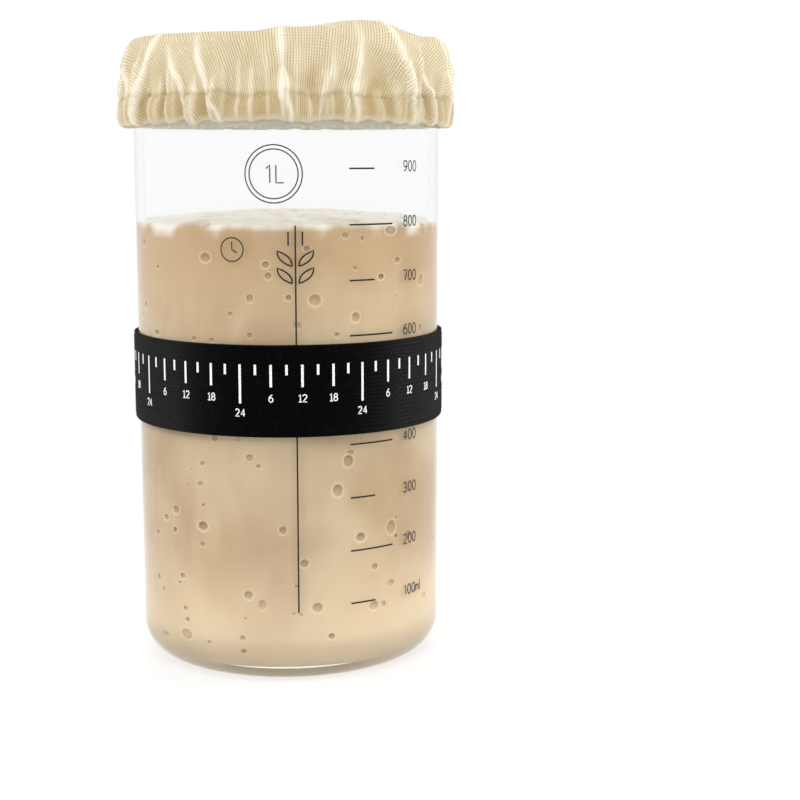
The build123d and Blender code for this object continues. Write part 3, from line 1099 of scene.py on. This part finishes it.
def settled(mesh, pinned):
    """Lets the cloth find its folds over a round form, and gives its points."""
    data = bpy.data.meshes.new("cloth_in_work")
    mesh.to_mesh(data)
    for vert in data.vertices:
        vert.co *= sim_scale
    work = placed("cloth_in_work", data)
    work.vertex_groups.new(name="held").add(pinned, 1.0, "REPLACE")
    cloth = work.modifiers.new("cloth", "CLOTH")
    for setting, value in cloth_settings.items():
        setattr(cloth.settings, setting, value)
    cloth.settings.effector_weights.gravity = 0.15
    cloth.collision_settings.distance_min = 0.004
    cloth.point_cache.frame_start = 1
    cloth.point_cache.frame_end = sim_frames

    form_mesh = turned([
        (0, 192.6 * mm), (16 * mm, 192.3 * mm), (28 * mm, 191.1 * mm),
        (36 * mm, 189.5 * mm), (40 * mm, 189.0 * mm),
        *bow(jar_radius - 1 * mm, jar_height - 2 * mm, 1.2 * mm, 1.2 * mm, 90, 0, 4),
        (jar_radius + 0.2 * mm, 150 * mm),
    ], 96)
    for vert in form_mesh.verts:
        vert.co *= sim_scale
    form = placed("form", as_data("form", form_mesh))
    form.modifiers.new("collision", "COLLISION")
    form.collision.thickness_outer = 0.004
    form.collision.cloth_friction = 8

    scene = bpy.context.scene
    scene.frame_start, scene.frame_end = 1, sim_frames
    for number in range(1, sim_frames + 1):
        scene.frame_set(number)
    graph = bpy.context.evaluated_depsgraph_get()
    result = work.evaluated_get(graph).to_mesh()
    points = [vert.co / sim_scale for vert in result.vertices]
    work.evaluated_get(graph).to_mesh_clear()
    for done in (work, form):
        bpy.data.objects.remove(done)
    scene.frame_set(1)
    return points


lip_middle = jar_height - lip
lip_clearance = 0.8 * mm
lowest_hem = 164.4 * mm  # keeps clear of the raised time band
crown_start = 183.0  # height in millimetres from which the crown rounds off


def clear_of_jar(point, reach):
    """Moves a point of the cloth inside the crown's outline, and off the glass and its lip."""
    away = max(0.001 * mm, hypot(point.x, point.y))
    on_right = sin(atan2(point.x, -point.y)) + 1
    above = max(0.0, (point.z / mm - crown_start) / 8)
    widest = (50.3 + 0.8 * on_right - 3.4 * above * above) * mm
    kept = away
    if above > 0 and away > widest:
        kept = widest + (away - widest) * 0.25
    closest = jar_radius + 0.3 * mm
    if reach < hem_reach + 1:
        closest += (1 + 1.25 * eased(reach, stitch_reach - 0.4, stitch_reach + 0.7)) * mm
    if point.z < lip_middle and inner_radius < kept < closest:
        kept = closest
    point = Vector((point.x * kept / away, point.y * kept / away, point.z))
    if reach < stitch_reach and kept > inner_radius - 2 * mm and point.z >= lip_middle:
        aside = max(0.0, kept - jar_radius + lip)
        over = point.z - lip_middle
        clear = hypot(aside, over)
        if clear < lip + lip_clearance:
            grow = (lip + lip_clearance) / max(clear, 0.1 * mm)
            wider = (min(kept, jar_radius - lip) + aside * grow) / kept
            point = Vector((point.x * wider, point.y * wider, lip_middle + over * grow))
    point.z = max(point.z, lowest_hem)
    return point


def make_cover():
    mesh = disc_of_cells(cloth_cells, cap_line[-1][0] * mm)
    along = mesh.verts.layers.float.new("along")
    flat_x = mesh.verts.layers.float.new("flat_x")
    flat_y = mesh.verts.layers.float.new("flat_y")
    pinned = []
    for index, vert in enumerate(mesh.verts):
        reach = max(0.001, vert.co.length / mm)
        flat = vert.co * (laid_flat(reach) / reach)
        vert[flat_x], vert[flat_y], vert[along] = flat.x, flat.y, reach
        if reach > hem_reach or abs(reach - stitch_reach) < 1.0:
            pinned.append(index)
        vert.co = cloth_point(reach, atan2(vert.co.x, -vert.co.y))
    for vert, point in zip(mesh.verts, settled(mesh, pinned)):
        vert.co = point
    bmesh.ops.subdivide_edges(mesh, edges=mesh.edges, cuts=1, smooth=1.0, use_grid_fill=True)
    bmesh.ops.recalc_face_normals(mesh, faces=mesh.faces)
    mesh.normal_update()
    crease_shade = mesh.verts.layers.float.new("crease_shade")
    hem_shade = mesh.verts.layers.float.new("hem_shade")
    painted_highlight = mesh.verts.layers.float.new("painted_highlight")
    moves = []
    for vert in mesh.verts:
        reach = vert[along]
        turn = atan2(vert[flat_x], -vert[flat_y])
        seam = exp(-(((reach - stitch_reach) / 0.8) ** 2))
        stand, ridge = folds_at(reach, turn) if reach > 28 else (0.0, 0.0)
        # Painted shade: patchy along the seam, and in the valleys between folds on the cover's side.
        valley = max(0.0, 0.35 - stand) * eased(reach, 54, 68)
        patchy = 0.5 + 1.4 * noise.noise(Vector((vert[flat_x], vert[flat_y], 0.0)) * 230)
        vert[crease_shade] = max(0.0, min(1.0, seam * (patchy - 0.15) + valley * 0.9))
        # Painted highlight on fold crests and along the hem's edge, and painted light over the facing
        # under the hem.
        edge = exp(-(((reach - hem_reach + 0.6) / 0.8) ** 2))
        under = eased(reach, hem_reach + 0.5, hem_reach + 1.5)
        vert[painted_highlight] = min(1.0, max(ridge, 0.5 * edge)) + 1.3 * under
        # Painted shade below the stitch line, fading in from just above it.
        vert[hem_shade] = eased(reach, stitch_reach - 2.5, stitch_reach + 1)
        moves.append((stand - 0.6 * seam) * mm)
    for vert, move in zip(mesh.verts, moves):
        vert.co = clear_of_jar(vert.co + vert.normal * move, vert[along])
    flat_map = mesh.loops.layers.uv.new("flat")
    for vert in mesh.verts:
        for loop in vert.link_loops:
            loop[flat_map].uv = (vert[flat_x], vert[flat_y])
    seam_row = [vert for vert in mesh.verts if abs(vert[along] - stitch_reach) < 0.44]
    seam_row.sort(key=lambda vert: atan2(vert[flat_x], -vert[flat_y]))
    seam = [tuple(vert.co + vert.normal * 0.12 * mm) for vert in seam_row]
    cotton = knitted_cotton((0.635, 0.54, 0.345), (0.80, 0.725, 0.56), (0.28, 0.185, 0.075))
    cover = finished("cloth_cover_shell", mesh, cotton, "cover")
    ply = cover.modifiers.new("ply", "SOLIDIFY")
    ply.thickness = 0.4 * mm
    ply.offset = -1.0
    stitches = [seam[k:k + 3] for k in range(0, len(seam) - 3, 4)]
    cotton_thread = printed_ink("hem_thread", (0.60, 0.50, 0.31), 0.8)
    finished("hem_stitches", cords(stitches, 0.24 * mm), cotton_thread, "cover")
    return cover


cover = make_cover()
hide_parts("cloth_cover")


# The elastics

core_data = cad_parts["band_core"].data
core_data.materials.clear()
core_data.materials.append(plain_rubber("band_rubber", (0.03, 0.03, 0.03), 900))

elastic_low, elastic_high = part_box("hem_elastic")
elastic_thickness = 0.9 * mm
elastic_edge = 0.25 * mm
elastic_steps = 160  # round the jar
inner_face, outer_face = elastic_high.x - elastic_thickness, elastic_high.x
elastic_outline = [
    (inner_face, elastic_low.z + elastic_edge),
    (inner_face + elastic_edge, elastic_low.z),
    (outer_face - elastic_edge, elastic_low.z),
    (outer_face, elastic_low.z + elastic_edge),
    (outer_face, elastic_high.z - elastic_edge),
    (outer_face - elastic_edge, elastic_high.z),
    (inner_face + elastic_edge, elastic_high.z),
    (inner_face, elastic_high.z - elastic_edge),
]
elastic_mesh = turned([*elastic_outline, elastic_outline[0]], elastic_steps)
for vert in elastic_mesh.verts:
    vert.co.z += 0.75 * hem_lift(atan2(vert.co.x, -vert.co.y)) * mm
hem_rubber = plain_rubber("hem_rubber", (0.72, 0.68, 0.58), 700)
elastic = finished("hem_elastic_ring", elastic_mesh, hem_rubber, "cover")
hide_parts("hem_elastic")


# Floor, world and lamps

floor_mesh = bmesh.new()
bmesh.ops.create_circle(floor_mesh, cap_ends=True, radius=3.0, segments=64)
floor = placed("floor", as_data("floor", floor_mesh))
floor.location.z = -0.02 * mm

pale = Recipe("pale_floor", base_color=(0.9, 0.9, 0.9), roughness=0.9, specular_ior_level=0.1)
away = pale.node("ShaderNodeVectorMath", {"operation": "LENGTH"}, {"Vector": pale.place()}, "Value")
whiteness = pale.on_view() * (0.62 + away.eased(0.07, 0.26) * 0.38)
white = pale.node("ShaderNodeEmission", {}, {"Color": (1.0, 1.0, 1.0), "Strength": 1.0})
pale.show(pale.mixed(whiteness, pale.surface, white))
floor.data.materials.append(pale.material)

world = bpy.data.worlds.new("studio")
world.use_nodes = True
bpy.context.scene.world = world
sky = Wiring(world.node_tree)
lighting = sky.node("ShaderNodeBackground", {}, {"Color": (1.0, 0.99, 0.98), "Strength": 0.56})
background = sky.node("ShaderNodeBackground", {}, {"Color": (1.0, 1.0, 1.0), "Strength": 1.0})
unscattered = sky.maths("LESS_THAN", sky.light_path("Diffuse Depth"), 0.5)
sky_output = sky.tree.nodes.new("ShaderNodeOutputWorld")
sky.feed(sky_output.inputs[0], sky.mixed(sky.on_view() * unscattered, lighting, background))


def lamp(name, turn, height, distance, power, size):
    """A large soft lamp that points at the jar's middle."""
    data = bpy.data.lights.new(name, "AREA")
    data.energy = power
    data.shape = "DISK"
    data.size = size
    light = placed(name, data)
    aim = Vector((0, 0, 0.1))
    light.location = spot(distance, radians(turn), height)
    light.rotation_mode = "QUATERNION"
    light.rotation_quaternion = (aim - light.location).to_track_quat("-Z", "Y")
    light.visible_camera = False
    light.visible_glossy = False
    light.visible_transmission = False


lamp("key", -38, 0.5, 0.75, 1.6, 0.3)
lamp("front", 28, 0.14, 0.8, 1.4, 0.45)
lamp("left", -92, 0.42, 0.75, 2.2, 0.4)
lamp("right", 86, 0.42, 0.75, 2.8, 0.4)
lamp("back", 176, 0.42, 0.8, 5.0, 0.5)
lamp("top", 0, 0.85, 0.25, 2.0, 0.3)

bpy.context.scene.view_settings.view_transform = "Standard"
